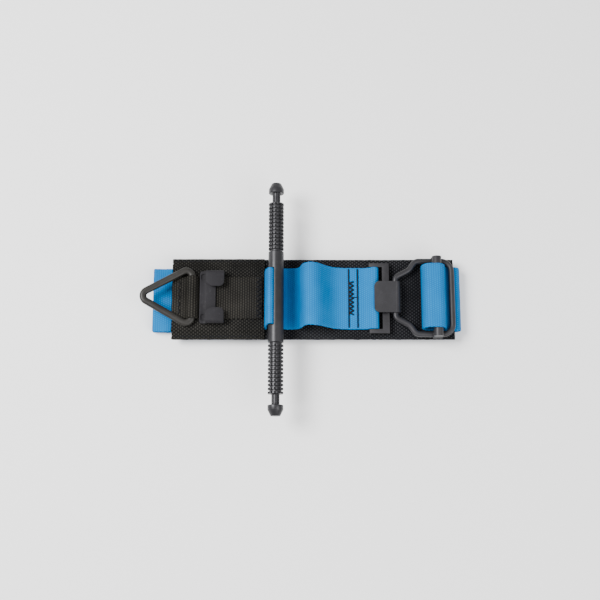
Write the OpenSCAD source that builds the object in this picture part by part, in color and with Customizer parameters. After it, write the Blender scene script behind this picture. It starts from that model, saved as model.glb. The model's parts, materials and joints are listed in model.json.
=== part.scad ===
// Windlass limb tourniquet, folded flat for storage.
// X runs along the straps, Y across them and Z up, in millimetres. The origin is under the windlass's
// turning axis, on the surface that the folded strap lies on.

/* [Webbing] */
// Thickness of the strap and ring webbing
web_t = 1.2; // [1.1:0.05:1.2]
// Width of the main strap
strap_w = 38.1; // [36:0.1:38.2]
// Width of the tension strap
tension_w = 37; // [35:0.5:37]
// Width of the pad webbing
pad_w = 48.6; // [46:0.2:51]
// Thickness of the pad webbing
pad_t = 1.6; // [1.4:0.1:1.7]
// Width of the webbing that holds the ring
ring_web_w = 25.4; // [23:0.2:25.4]

/* [Lengths] */
// Left end of the pad
pad_left = -61.7; // [-62:0.1:-60]
// Right end of the pad
pad_right = 105.1; // [104:0.1:105.2]
// Right end of the pad's sleeve
sleeve_right = -7; // [-8:0.1:-7]
// Left fold of the stowed main strap
fold_left = -73.5; // [-76:0.5:-72]
// Free end of the stowed main strap
free_end = -55; // [-60:1:-20]

/* [Windlass] */
// Length of the windlass rod
rod_l = 137.5; // [136:0.5:140]
// Diameter of the windlass rod
rod_d = 9; // [8.5:0.1:9.2]
// Height of the rod's axis
rod_z = 22; // [22:0.1:23]
// How far the rod has slid along its slot, off the strap's centreline
rod_shift = -1.9; // [-2.4:0.1:2.4]
// Rings in each grip
grip_rings = 13; // [9:1:13]
// Distance between two grip rings
grip_pitch = 2.25; // [2.1:0.05:2.3]

/* [Ring and clip] */
// Diameter of the ring's wire
ring_d = 3.9; // [3.5:0.1:3.9]
// Place of the ring's straight bar
ring_bar_x = -49.4; // [-50.5:0.1:-49.4]
// Reach of the ring from its straight bar to its tip, between wire centres
ring_reach = 28.2; // [26:0.05:28.4]
// Half width of the ring between wire centres
ring_half = 16.2; // [15.8:0.1:18]
// Tilt of the ring, which leans on the end of its webbing
ring_tilt = 6.5; // [6.5:0.5:8]
// Width of the windlass clip across the strap
clip_w = 31.5; // [30:0.5:33]

/* [Buckle] */
// Diameter of the bail's wire
bail_d = 3.2; // [3:0.1:3.2]
// Place of the bail's end wire
bail_end_x = 103.2; // [103:0.1:103.3]
// Half distance between the bail's side wires
bail_half = 21.9; // [21.8:0.1:22.2]
// Diameter of the slide bar
bar_d = 5.5; // [5:0.1:5.6]
// Place of the slide bar
bar_x = 94.2; // [94:0.1:95]
// Place of the slotted frame's round bar
frame_bar_x = 57.7; // [57.6:0.1:58]

/* [Hidden] */

gap = 0.05;                            // between two layers that lie on each other
pitch = web_t + gap;                   // from one strap layer to the next
stack = 5;                             // strap layers under the pad
pad_bottom = stack * pitch + gap;
pad_top = pad_bottom + pad_t;
under_z = pad_top + gap + web_t / 2;   // centre of the first strap layer on the pad
over_z = under_z + pitch;              // centre of the second strap layer on the pad
sleeve_bottom = pad_top + 2 * gap + web_t;
sleeve_top = sleeve_bottom + pad_t;
ring_web_z = sleeve_top + gap + web_t / 2;
ring_web_top = ring_web_z + web_t / 2;

ring_r = ring_d / 2;
ring_z = sleeve_top + gap + 0.1 + ring_r;
ring_corner = 3.8;                     // centreline radius at the two ends of the ring's bar
ring_tip = 3.6;                        // centreline radius at the ring's tip

clip_t = 1.2;
clip_z = ring_web_top + gap;
clip_left = -45;
clip_right = -35.7;
ear_left = -41.2;
ear_right = -30.6;
ear_bend = 1.2;                        // centreline radius of an ear's two bends
ear_rise = 1.1;                        // straight rise between those bends
ear_long = 9.7;                        // reach of the two ears over the plate
ear_short = 9;
recess_r = 1.3;                        // relief at the root of each ear
recess_t = 0.7;

slot_lean = -66;                       // direction of the rod's slot, down towards +X
slot_gap = 0.3;                        // room on each side of the strap in the slot
turn_r = 1.2;                          // bend of the strap over the slot's upper lip
core_half = 5.2;                       // half length of the strap that turns with the rod
core_w = tension_w - 4;                // the strap is gathered to this width in the slot
ring_thick = 1.25;                     // width of one grip ring
grip_l = (grip_rings - 1) * grip_pitch + ring_thick;
groove = 1;                            // depth between two grip rings
head_l = 6.3;
neck_l = 6.2;
neck_r = 2.2;
head_end_r = 2.5;

frame_t = 2.6;                         // thickness of the slotted frame and of its round bar
frame_z = under_z + frame_t / 2 + 0.1 + web_t / 2;
frame_left = 54.6;
frame_right = 66.4;
frame_w = 42;
frame_inner_w = 37.4;
frame_cross = 4;                       // width of the frame's right cross bar
wrap_r = frame_t / 2 + 0.1 + web_t / 2;
doubled_left = 42;                     // where the tension strap's doubled end starts

bail_r = bail_d / 2;
bail_z = over_z + web_t / 2 + 0.25 + bail_r;
bail_corner = 6;
side_left = 84;                        // left end of the bail's straight sides
hook_x = 70;                           // place of the bail's narrow end
shoulder = 55;                         // turn of the bail's wire at its shoulder
relax = 27;                            // turn back towards the hook plate
shoulder_r = 4;
relax_r = 6;
hook_corner = 3;
shoulder_l = 3;                        // straight wire after the shoulder
plate_t = 1.4;                         // thickness of the hook plate
plate_w = 18.6;
plate_left = 57.4;
knuckle_r = bail_r + gap + plate_t;
plate_z = bail_z + knuckle_r - plate_t;
lip_x = 60.85;
lip_t = 1.2;
lip_l = 3.6;

eye_gap = 0.06;                        // running clearance of the slide bar's eyes on the wire
eye_r = bail_r + eye_gap + 0.75;
bar_z = bail_z + bail_r + eye_gap + bar_d / 2 + 0.04;
loop_r = bar_d / 2 + 0.1 + web_t / 2;

turn_x = pad_right - 0.2;              // centre of the strap's turns round the pad's right end
turn_z = (layer_z(3) + under_z) / 2;
fold_r = pitch / 2;

thread = 0.35;                         // height of a stitch over the cloth
lap = 0.3;                             // how far a straight wire runs into a bend
hair = 0.03;                           // how much thicker a bend is

blue = [0.07, 0.5, 0.8];
black_web = [0.13, 0.125, 0.115];
dark_thread = [0.04, 0.04, 0.05];
charcoal = [0.26, 0.26, 0.28];
bronze_black = [0.22, 0.21, 0.2];

// Centre height of layer n of the folded strap, counted from the lowest
function layer_z(n) = n * pitch + web_t / 2;

// Points of an arc, from angle a0 to a1
function arc(cx, cz, r, a0, a1, n) = [
    for (i = [0:n]) let (a = a0 + (a1 - a0) * i / n) [cx + r * cos(a), cz + r * sin(a)]
];

// Points of a cubic curve from p to q with headings hp and hq and handle lengths kp and kq
function curve(p, hp, kp, q, hq, kq, n) =
    let (a = p + kp * [cos(hp), sin(hp)], b = q - kq * [cos(hq), sin(hq)])
    [for (i = [0:n]) let (t = i / n, s = 1 - t)
        s ^ 3 * p + 3 * s ^ 2 * t * a + 3 * s * t ^ 2 * b + t ^ 3 * q];

// The same points without neighbours that coincide
function tidy(p) = [for (i = [0:len(p) - 1]) if (i == 0 || norm(p[i] - p[max(i - 1, 0)]) > 0.01) p[i]];

function heading(p, i) =
    let (d = p[min(i + 1, len(p) - 1)] - p[max(i - 1, 0)])
    d / norm(d);

function half_turn(p, i) =
    i == 0 || i == len(p) - 1 ? 1 :
    let (a = (p[i] - p[i - 1]) / norm(p[i] - p[i - 1]), h = heading(p, i))
    max(a * h, 0.7);

// Outline of a band of thickness t along the points p
function band(p, t) = [
    for (i = [0:len(p) - 1]) let (h = heading(p, i)) p[i] + t / 2 / half_turn(p, i) * [-h[1], h[0]],
    for (i = [len(p) - 1:-1:0]) let (h = heading(p, i)) p[i] - t / 2 / half_turn(p, i) * [-h[1], h[0]]
];

// Webbing of width w along points in the XZ plane
module webbing(points, w, t = web_t) {
    rotate([90, 0, 0])
        linear_extrude(w, center = true)
            polygon(band(tidy(points), t));
}

// A bar of radius r along Y
module cross_bar(x, z, r, l) {
    translate([x, 0, z])
        rotate([90, 0, 0])
            cylinder(r = r, h = l, center = true, $fn = 48);
}

// Rectangle with quarter-round corners, r in the order of its corners from the lower left
function round_rect(x0, y0, x1, y1, r) = concat(
    arc(x0 + r[0], y0 + r[0], r[0], 180, 270, 6),
    arc(x1 - r[1], y0 + r[1], r[1], 270, 360, 6),
    arc(x1 - r[2], y1 - r[2], r[2], 0, 90, 6),
    arc(x0 + r[3], y1 - r[3], r[3], 90, 180, 6)
);

// Wire of radius r that follows steps from the origin towards +X: [length] is straight and
// [turn, radius] bends. Each straight runs a little way into the bends, and a bend is a hair thicker.
module wire(steps, r, i = 0) {
    if (i < len(steps)) {
        step = steps[i];
        if (len(step) == 1) {
            translate([-lap, 0, 0])
                rotate([0, 90, 0])
                    cylinder(r = r, h = step[0] + 2 * lap, $fn = 32);
            translate([step[0], 0, 0])
                wire(steps, r, i + 1);
        } else {
            side = sign(step[0]);
            translate([0, side * step[1], 0]) {
                rotate([0, 0, side > 0 ? -90 : 90 + step[0]])
                    rotate_extrude(angle = abs(step[0]), $fn = 96)
                        translate([step[1], 0])
                            circle(r = r + hair, $fn = 32);
                rotate([0, 0, step[0]])
                    translate([0, -side * step[1], 0])
                        wire(steps, r, i + 1);
            }
        }
    }
}

// A row of stitches: each is a low bar, l long and w wide, lying across at the points given
module stitches(points, l, w, z, turn = 0) {
    for (p = points)
        translate([p[0], p[1], z + thread / 2])
            rotate([0, 0, turn])
                cube([l, w, thread], center = true);
}

module pad_base() {
    color(black_web)
        translate([pad_left, -pad_w / 2, pad_bottom])
            cube([pad_right - pad_left, pad_w, pad_t]);
}

// The sleeve lies over the tension strap and comes down to the pad at its two long edges
module pad_sleeve() {
    in = tension_w / 2 + 0.4;
    out = pad_w / 2;
    down = pad_top + gap;
    color(black_web)
        translate([pad_left, 0, 0])
            rotate([90, 0, 90])
                linear_extrude(sleeve_right - pad_left)
                    polygon([
                        [-out, down], [-in - 1.6, down], [-in, sleeve_bottom], [in, sleeve_bottom],
                        [in + 1.6, down], [out, down], [out, down + pad_t], [in + 2, down + pad_t],
                        [in, sleeve_top], [-in, sleeve_top], [-in - 2, down + pad_t], [-out, down + pad_t]
                    ]);
}

module sleeve_edge_stitching() {
    z = pad_top + gap + pad_t;
    y = pad_w / 2 - 1.6;
    color(dark_thread)
        for (side = [-1, 1])
            stitches([for (x = [pad_left + 3:4.2:sleeve_right - 2]) [x, side * y]], 2.8, 0.6, z);
}

// Over the ring's bar the webbing makes a tunnel, with a small bend at the foot of each side
module ring_webbing() {
    r = ring_r + 0.3 + web_t / 2;
    steep = 70;
    bend = 1.15;
    foot_x = r * sin(steep) + (ring_z + r * cos(steep) - ring_web_z) / tan(steep) + bend * tan(steep / 2);
    path = concat(
        [[pad_left + 0.1, ring_web_z]],
        arc(ring_bar_x - foot_x, ring_web_z + bend, bend, -90, steep - 90, 8),
        arc(ring_bar_x, ring_z, r, 90 + steep, 90 - steep, 16),
        arc(ring_bar_x + foot_x, ring_web_z + bend, bend, -90 - steep, -90, 8),
        [[-8.2, ring_web_z]]
    );
    color(black_web)
        webbing(path, ring_web_w);
}

module ring_webbing_stitching() {
    color(dark_thread)
        stitches([for (i = [-2:2]) [-57.2, i * 4.1]], 0.8, 2.2, ring_web_top);
}

// Zigzag bartack at the webbing's right end
module ring_webbing_bartack() {
    n = 16;
    step = (ring_web_w - 2) / n;
    color(dark_thread)
        for (i = [0:n - 1])
            stitches([[-10.4, (i - (n - 1) / 2) * step]], 2.6, 0.7, ring_web_top, i % 2 == 0 ? 24 : -24);
}

// Cross-section of the clip's plate and one ear: up from the plate, then inwards over it
function ear_path(reach) =
    let (y = clip_w / 2 - clip_t / 2 - ear_bend, low = clip_z + clip_t / 2 + ear_bend, high = low + ear_rise)
    concat(
        [[y - 3, clip_z + clip_t / 2]],
        arc(y, low, ear_bend, -90, 0, 6),
        arc(y, high, ear_bend, 0, 90, 6),
        [[clip_w / 2 - reach, high + ear_bend]]
    );

module clip_ear(reach) {
    y = clip_w / 2;
    intersection() {
        translate([ear_left, 0, 0])
            rotate([90, 0, 90])
                linear_extrude(ear_right - ear_left)
                    polygon(band(tidy(ear_path(reach)), clip_t));
        translate([0, 0, clip_z - 1])
            linear_extrude(10)
                polygon(round_rect(ear_left, y - reach, ear_right, y + 0.1, [4.2, 2.8, 1.2, 0.4]));
    }
}

module windlass_clip() {
    half = clip_w / 2;
    color(charcoal) {
        difference() {
            translate([0, 0, clip_z])
                linear_extrude(clip_t) {
                    polygon(round_rect(
                        clip_left, gap - half, ear_left + 0.6, half - gap, [1.6, 0.1, 0.1, 1.6]
                    ));
                    translate([clip_left + 2, -half + 1.5])
                        square([clip_right - clip_left - 2, clip_w - 3]);
                }
            for (side = [-1, 1])
                for (y = [11.4, 12.7])
                    translate([-43, side * y, clip_z + clip_t - recess_t])
                        cylinder(r = recess_r, h = clip_t, $fn = 32);
        }
        clip_ear(ear_long);
        mirror([0, 1, 0])
            clip_ear(ear_short);
    }
}

// The ring's legs touch the corner circles and the tip circle
module tri_ring() {
    run = ring_reach - ring_corner - ring_tip;
    rise = ring_half - ring_corner;
    span = norm([run, rise]);
    turn = atan2(rise, run) - asin((ring_corner - ring_tip) / span);
    leg = sqrt(span * span - (ring_corner - ring_tip) * (ring_corner - ring_tip));
    color(bronze_black)
        translate([ring_bar_x, 0, ring_z])
            rotate([0, ring_tilt, 0])
                translate([0, -rise, 0])
                    rotate([0, 0, 90])
                        wire([
                            [2 * rise], [90 + turn, ring_corner], [leg], [180 - 2 * turn, ring_tip],
                            [leg], [90 + turn, ring_corner]
                        ], ring_r);
}

// Half outline of the rod from its middle to one end: radius and place along the rod
function rod_outline() =
    let (r = rod_d / 2, end = rod_l / 2, neck = end - head_l - neck_l, grip = neck - grip_l)
    concat(
        [[0, 0], [r, 0], [r, grip - 1.2]],
        [for (i = [0:grip_rings - 1]) let (y = grip + i * grip_pitch) each [
            [r - groove, y - (grip_pitch - ring_thick) + 0.2], [r - groove, y],
            [r - 0.15, y], [r, y + 0.15], [r, y + ring_thick - 0.15], [r - 0.15, y + ring_thick]
        ]],
        [[neck_r, neck], [neck_r, neck + neck_l], [r - 0.2, neck + neck_l], [r, neck + neck_l + 0.2]],
        [[r, end - 3.6], [head_end_r + 0.3, end - 0.3], [head_end_r, end], [0, end]]
    );

module windlass_rod() {
    slot_l = core_w + 1.2;
    slot_w = web_t + 2 * slot_gap;
    color(charcoal)
        translate([0, rod_shift, rod_z])
            difference() {
                for (side = [0, 1])
                    mirror([0, side, 0])
                        rotate([-90, 0, 0])
                            rotate_extrude($fn = 96)
                                polygon(rod_outline());
                rotate([0, -slot_lean, 0]) {
                    cube([rod_d + 2, slot_l - slot_w, slot_w], center = true);
                    for (side = [-1, 1])
                        translate([0, side * (slot_l - slot_w) / 2, 0])
                            rotate([0, 90, 0])
                                cylinder(d = slot_w, h = rod_d + 2, center = true, $fn = 24);
                }
            }
}

// The strap climbs beside the rod, bends over the slot's upper lip and runs down through the rod
slot_way = [cos(slot_lean), sin(slot_lean)];
rod_axis = [0, rod_z];
core_start = rod_axis - core_half * slot_way;
core_end = rod_axis + core_half * slot_way;
bend = core_start + turn_r * [slot_way[1], -slot_way[0]];
bend_in = 76;                          // heading of the strap where it meets that bend
climb = [-6.1, 11.2];
foot = [6.6, under_z + 0.2];
slack_up = [13.9, 14.5];
slack_top = [19.5, 24.6];

module tension_strap_anchor() {
    color(blue)
        webbing([[pad_left + 1, under_z], [sleeve_right, under_z]], tension_w);
}

module tension_strap_rise() {
    meet = arc(bend[0], bend[1], turn_r, bend_in + 90, bend_in + 90, 1)[0];
    color(blue)
        webbing(concat(
            [[sleeve_right, under_z]],
            curve([sleeve_right + 0.1, under_z], 0, 0.9, climb, 96, 1.5, 8),
            curve(climb, 96, 4.5, meet, bend_in, 7, 10),
            arc(bend[0], bend[1], turn_r, bend_in + 90, slot_lean + 90, 14)
        ), tension_w);
}

// It stops a hair short of the lengths beside it, which stay with the pad
module tension_strap_core() {
    color(blue)
        translate([0, rod_shift, 0])
            webbing([core_start + gap * slot_way, core_end - gap * slot_way], core_w);
}

module tension_strap_fall() {
    color(blue)
        webbing(curve(core_end, slot_lean, 4.4, foot, 0, 3, 10), tension_w);
}

module tension_strap_slack() {
    color(blue)
        webbing(concat(
            curve(foot + [2 * gap, 0], 0, 4.2, slack_up, 80, 4.2, 14),
            curve(slack_up, 80, 6.2, slack_top, 0, 3.4, 12),
            curve(slack_top, 0, 8, [doubled_left, over_z], 0, 12, 20)
        ), tension_w);
}

// The strap's end goes round the frame's bar, comes back below and is sewn to itself
module tension_strap_end() {
    x = frame_bar_x;
    from = arc(x, frame_z, wrap_r, 120, 120, 1)[0];
    color(blue)
        webbing(concat(
            [[doubled_left, over_z], [x - 6.4, over_z]],
            curve([x - 6.2, over_z], 0, 2.2, from, 30, 1.6, 8),
            arc(x, frame_z, wrap_r, 120, -90, 20),
            [[doubled_left - 0.4, under_z]]
        ), tension_w);
}

// Two rows across the strap, a tack between them and one long stitch that joins it to the second row
module tension_strap_stitching() {
    z = over_z + web_t / 2;
    tacks = 15;
    color(dark_thread) {
        for (x = [42.7, 47.9])
            stitches([for (i = [-5:5]) [x, i * 3.2]], 0.8, 2.6, z);
        for (i = [0:tacks])
            stitches([[44.2, (i - tacks / 2) * 1.25]], 2, 0.8, z, i % 2 == 0 ? 24 : -24);
        stitches([[46.2, 0.5]], 2.6, 0.5, z);
    }
}

// From the seam under the pad: left fold, right along the pad, up round the pad's end
module main_strap_inner_run() {
    x = fold_left + web_t / 2 + fold_r;
    color(blue)
        webbing(concat(
            [[pad_left + 28, layer_z(4)]],
            arc(x, layer_z(4) - fold_r, fold_r, 90, 270, 12),
            arc(turn_x, turn_z, under_z - turn_z, -90, 90, 18),
            [[bail_end_x, under_z]]
        ), strap_w);
}

// Back from the buckle: round the pad's end, then folded twice under the pad
module main_strap_outer_run() {
    x = fold_left + web_t / 2 + fold_r;
    color(blue)
        webbing(concat(
            [[bail_end_x, over_z]],
            arc(turn_x, turn_z, over_z - turn_z, 90, -90, 24),
            arc(x, layer_z(2) - fold_r, fold_r, 90, 270, 12),
            arc(turn_x - 4, layer_z(1) - fold_r, fold_r, 90, -90, 12),
            [[free_end, layer_z(0)]]
        ), strap_w);
}

// Up from under the end wire, loosely over the slide bar and back down
module strap_loop() {
    left = [85.7, 12.8];
    right = [98.8, 12.6];
    top = bar_z + loop_r;
    off = 40;                          // where the strap leaves the slide bar
    color(blue)
        webbing(concat(
            [[bail_end_x, under_z], [90.6, under_z]],
            curve([90.4, under_z], 180, 3, left, 90, 2.2, 10),
            curve(left, 90, 4, [90.4, top], 0, 3, 12),
            arc(bar_x, bar_z, loop_r, 90, off, 8),
            curve([bar_x + loop_r * cos(off), bar_z + loop_r * sin(off)], off - 90, 2.4, right, -86, 2.4, 8),
            curve(right, -86, 1.8, [101.6, over_z], 0, 1.7, 8),
            [[bail_end_x, over_z]]
        ), strap_w);
}

module slotted_frame() {
    side_w = (frame_w - frame_inner_w) / 2;
    color(charcoal) {
        translate([0, 0, frame_z - frame_t / 2])
            linear_extrude(frame_t) {
                for (side = [-1, 1])
                    translate([frame_left, side * (frame_w - side_w) / 2 - side_w / 2])
                        square([frame_right - frame_left, side_w]);
                translate([frame_right - frame_cross, -frame_w / 2])
                    square([frame_cross, frame_w]);
            }
        cross_bar(frame_bar_x, frame_z, frame_t / 2, frame_w - side_w);
    }
}

// Flat plate, a lip at its left that drops into the frame, and a knuckle round the bail's narrow end
module hook_plate() {
    half = plate_w / 2;
    color(charcoal) {
        translate([0, 0, plate_z])
            linear_extrude(plate_t)
                polygon(round_rect(plate_left, -half, hook_x, half, [3, 0.05, 0.05, 3]));
        translate([lip_x, -half + 1.6, plate_z - lip_l])
            cube([lip_t, plate_w - 3.2, lip_l + 0.2]);
        difference() {
            cross_bar(hook_x, bail_z, knuckle_r, plate_w);
            cross_bar(hook_x, bail_z, knuckle_r - plate_t, plate_w + 1);
        }
    }
}

// The bail goes once round, from one end of its end wire over the hook plate's knuckle and back
module bail_wire() {
    across = bail_half - bail_corner;
    side = [bail_end_x - bail_corner - side_left];
    after = [
        side_left - shoulder_r * sin(shoulder) - shoulder_l * cos(shoulder)
            - relax_r * (sin(shoulder) - sin(shoulder - relax)),
        bail_half - shoulder_r * (1 - cos(shoulder)) - shoulder_l * sin(shoulder)
            - relax_r * (cos(shoulder - relax) - cos(shoulder))
    ];
    slope = shoulder - relax;
    run = (after[0] - hook_x - hook_corner * (1 - sin(slope))) / cos(slope);
    rest = after[1] - run * sin(slope) - hook_corner * cos(slope);
    color(charcoal)
        translate([bail_end_x, -across, bail_z])
            rotate([0, 0, 90])
                wire([
                    [2 * across], [90, bail_corner], side, [shoulder, shoulder_r], [shoulder_l],
                    [-relax, relax_r], [run], [90 - slope, hook_corner],
                    [2 * rest], [90 - slope, hook_corner], [run], [-relax, relax_r],
                    [shoulder_l], [shoulder, shoulder_r], side, [90, bail_corner]
                ], bail_r);
}

// The bar's two eyes run on the bail's side wires
module slide_bar() {
    color(charcoal)
        difference() {
            union() {
                cross_bar(bar_x, bar_z, bar_d / 2, 2 * bail_half + 3.8);
                for (side = [-1, 1])
                    translate([bar_x - bar_d / 2, side * bail_half, bail_z])
                        rotate([0, 90, 0])
                            cylinder(r = eye_r, h = bar_d, $fn = 48);
            }
            for (side = [-1, 1])
                translate([bar_x - bar_d, side * bail_half, bail_z])
                    rotate([0, 90, 0])
                        cylinder(r = bail_r + eye_gap, h = 2 * bar_d, $fn = 48);
        }
}

pad_base();
pad_sleeve();
sleeve_edge_stitching();
ring_webbing();
ring_webbing_stitching();
ring_webbing_bartack();
windlass_clip();
tri_ring();
windlass_rod();
tension_strap_anchor();
tension_strap_rise();
tension_strap_core();
tension_strap_fall();
tension_strap_slack();
tension_strap_end();
tension_strap_stitching();
main_strap_inner_run();
main_strap_outer_run();
strap_loop();
slotted_frame();
hook_plate();
bail_wire();
slide_bar();
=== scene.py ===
# %% [markdown]
# # A windlass tourniquet in Blender
# The real object is webbing and coated metal: a long blue strap folded under a black pad, a turned rod
# with a short strap through it, a ring and a clip that lock the rod, and a hook buckle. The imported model
# says where every part is. This lesson builds the cloth, thread, wire and rod that are seen, and gives
# all of it a finish.

# %% Load the frame
import bpy
import json
import math
import numpy as np
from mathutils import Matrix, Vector, noise


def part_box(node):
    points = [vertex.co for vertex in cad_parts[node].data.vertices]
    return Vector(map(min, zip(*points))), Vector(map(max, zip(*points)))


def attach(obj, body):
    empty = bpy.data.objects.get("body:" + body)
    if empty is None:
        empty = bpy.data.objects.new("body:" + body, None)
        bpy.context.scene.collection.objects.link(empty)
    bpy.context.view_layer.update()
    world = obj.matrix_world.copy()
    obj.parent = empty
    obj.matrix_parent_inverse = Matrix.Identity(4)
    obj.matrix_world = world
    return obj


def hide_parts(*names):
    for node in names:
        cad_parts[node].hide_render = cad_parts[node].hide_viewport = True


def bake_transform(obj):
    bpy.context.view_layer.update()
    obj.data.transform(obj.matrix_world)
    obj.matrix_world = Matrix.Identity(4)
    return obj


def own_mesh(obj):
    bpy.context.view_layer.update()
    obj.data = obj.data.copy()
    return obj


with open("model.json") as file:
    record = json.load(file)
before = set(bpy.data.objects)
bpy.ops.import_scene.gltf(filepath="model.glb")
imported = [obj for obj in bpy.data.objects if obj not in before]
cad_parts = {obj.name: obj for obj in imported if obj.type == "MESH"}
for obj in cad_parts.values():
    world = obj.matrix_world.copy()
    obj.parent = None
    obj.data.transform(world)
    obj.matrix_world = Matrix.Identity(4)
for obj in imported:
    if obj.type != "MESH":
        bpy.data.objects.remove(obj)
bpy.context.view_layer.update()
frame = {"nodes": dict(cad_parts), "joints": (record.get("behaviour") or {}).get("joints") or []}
MM = 0.001

# %% [markdown]
# ## Sizes from the frame
# Each node's box gives the place of a part, so nothing here repeats a measured place. A few sizes that a
# box can't show, such as the thickness of the webbing, are named once.

# %% Read the places of the parts


def low(node, axis):
    """The low end of a node's box along an axis; the next three are its high end, middle and size."""
    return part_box(node)[0][axis]


def high(node, axis):
    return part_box(node)[1][axis]


def middle(node, axis):
    return (low(node, axis) + high(node, axis)) / 2


def size(node, axis):
    return high(node, axis) - low(node, axis)


X, Y, Z = 0, 1, 2
web = size("tension_strap_anchor", Z)
gap = 0.05 * MM
layer = web + gap
strap_w = size("main_strap_inner_run", Y)
tension_w = size("tension_strap_end", Y)
pad_w, pad_t = size("pad_base", Y), size("pad_base", Z)
pad_top = high("pad_base", Z)
under_z = pad_top + gap + web / 2
over_z = under_z + layer
rod_r, rod_z, rod_y = size("windlass_rod", X) / 2, middle("windlass_rod", Z), middle("windlass_rod", Y)
axis_of = {joint["name"]: joint.get("pos_m") for joint in frame["joints"]}
print(f"strap {strap_w / MM:.1f} mm wide, rod axis {rod_z / MM:.1f} mm up")

# %% [markdown]
# ## Camera
# The camera looks almost straight down, leaning a little towards the side of the pad that is nearest,
# from about 0.6 m away. It is placed from the point it looks at, so its lean is one number.

# %% Place the camera
aim = Vector((13.9 * MM, -0.5 * MM, pad_top))
lean = math.radians(12.5)
distance = 0.6
camera_data = bpy.data.cameras.new("camera")
camera_data.lens = 60.84
camera_data.clip_start = 0.01
camera = bpy.data.objects.new("camera", camera_data)
bpy.context.collection.objects.link(camera)
camera.location = aim + distance * Vector((0, -math.sin(lean), math.cos(lean)))
camera.rotation_euler = (lean, 0, 0)
bpy.context.scene.camera = camera
print("camera at", [round(c, 3) for c in camera.location])

# %% [markdown]
# ## Shader maths
# A finish is a small network of nodes. A class that wraps a socket and overloads the operators lets the
# maths be written as plain Python, and one method makes every other node.

# %% Define the shader helpers


class Value:
    """A socket that adds Math nodes when it is used in an expression."""

    def __init__(self, finish, socket):
        self.finish = finish
        self.socket = socket

    def __add__(self, other):
        return self.finish.math("ADD", self, other)

    def __sub__(self, other):
        return self.finish.math("SUBTRACT", self, other)

    def __rsub__(self, other):
        return self.finish.math("SUBTRACT", other, self)

    def __mul__(self, other):
        return self.finish.math("MULTIPLY", self, other)

    __radd__ = __add__


class Finish:
    """A material with one Principled shader; node() adds any node and returns one of its outputs."""

    def __init__(self, name, **constants):
        self.material = bpy.data.materials.new(name)
        self.material.use_nodes = True
        self.nodes = self.material.node_tree.nodes
        self.links = self.material.node_tree.links
        self.shader = self.nodes["Principled BSDF"]
        for socket, value in constants.items():
            self.shader.inputs[socket.replace("_", " ")].default_value = value

    def node(self, kind, settings=None, inputs=None, output=0):
        made = self.nodes.new(kind)
        for name, value in (settings or {}).items():
            if name == "stops":
                ramp = made.color_ramp
                for place, colour in value[1:-1]:
                    ramp.elements.new(place)
                for element, (place, colour) in zip(ramp.elements, value):
                    element.position = place
                    element.color = (*colour, 1)
            else:
                setattr(made, name, value)
        for name, value in (inputs or {}).items():
            self.feed(made.inputs[name], value)
        return Value(self, made.outputs[output])

    def feed(self, socket, value):
        if isinstance(value, Value):
            self.links.new(value.socket, socket)
        else:
            socket.default_value = value

    def math(self, operation, *values):
        return self.node("ShaderNodeMath", {"operation": operation}, dict(enumerate(values)))

    def clamp(self, value):
        return self.node("ShaderNodeClamp", None, {0: value})

    def ramp(self, value, *stops):
        return self.node("ShaderNodeValToRGB", {"stops": stops}, {0: value})

    def set(self, socket, value):
        self.feed(self.shader.inputs[socket], value)

    def bump(self, height, strength, depth):
        self.set("Normal", self.node("ShaderNodeBump", None, {
            "Height": height, "Strength": strength, "Distance": depth,
        }))

    def place(self):
        return self.node("ShaderNodeTexCoord", None, None, "Object")

    def noise(self, at, scale, detail=3.0, roughness=0.55):
        return self.node("ShaderNodeTexNoise", None, {
            "Vector": at, "Scale": scale, "Detail": detail, "Roughness": roughness,
        })


print("shader helpers are ready")

# %% [markdown]
# ## Webbing finish
# Webbing is a flat weave: yarns run along it, and picks cross them at an even pitch. Two waves, one along
# the strap and one across, give the little hills where yarns pass over each other. The strap's own map is
# laid out in metres, so the pitch is the real one, and the weave follows every bend. The hills raise the
# surface through a bump, and they are a little smoother on top than in the hollows between them. Their
# colour is painted lighter on top, as painted highlight, and darker in the hollows, as painted shade.

# %% Make the webbing finishes


def wave(finish, value, pitch):
    return finish.math("SINE", value * (math.pi / pitch))


def webbing_finish(name, shades, yarn, pick, rib, depth, wear, roughness):
    """shades are the hollow colour, painted darker as shade, the middle colour, and the top colour, painted
    lighter as highlight; yarn and pick are pitches; rib is how far the picks stand out.
    """
    f = Finish(name, Specular_IOR_Level=0.05)
    uv = f.node("ShaderNodeUVMap", {"uv_map": "UVMap"})
    wobble = f.noise(uv, 190.0, 2.0)
    along = f.node("ShaderNodeSeparateXYZ", None, {0: uv}, "X") + (wobble - 0.5) * (pick * 0.35)
    across = f.node("ShaderNodeSeparateXYZ", None, {0: uv}, "Y") + (wobble - 0.5) * (yarn * 0.3)
    hills = wave(f, along, pick) * wave(f, across, yarn) * 0.5 + 0.5
    ribs = f.math("ABSOLUTE", wave(f, along, pick))
    weave = hills * (1 - rib) + ribs * rib
    fibre = f.noise(uv, 5200.0, 2.0)
    patches = f.noise(uv, 75.0, 3.0)
    broad = f.noise(uv, 16.0, 2.0)
    height = weave * 0.85 + fibre * 0.15
    f.bump(height, 0.9, depth)
    # The weave's height sets much of the colour: its tops are painted lighter, as painted highlight, and its
    # hollows darker, as painted shade. Fibre, patches and broad are the cloth's own random tone.
    tone_and_weave_shade = f.clamp(weave * 0.46 + fibre * 0.26 + patches * 0.22 + broad * 0.24 - 0.08)
    f.set("Base Color", f.ramp(tone_and_weave_shade, (0.18, shades[0]), (0.5, shades[1]), (0.86, shades[2])))
    f.set("Roughness", f.clamp(roughness + (0.5 - weave) * wear))
    return f.material


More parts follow.
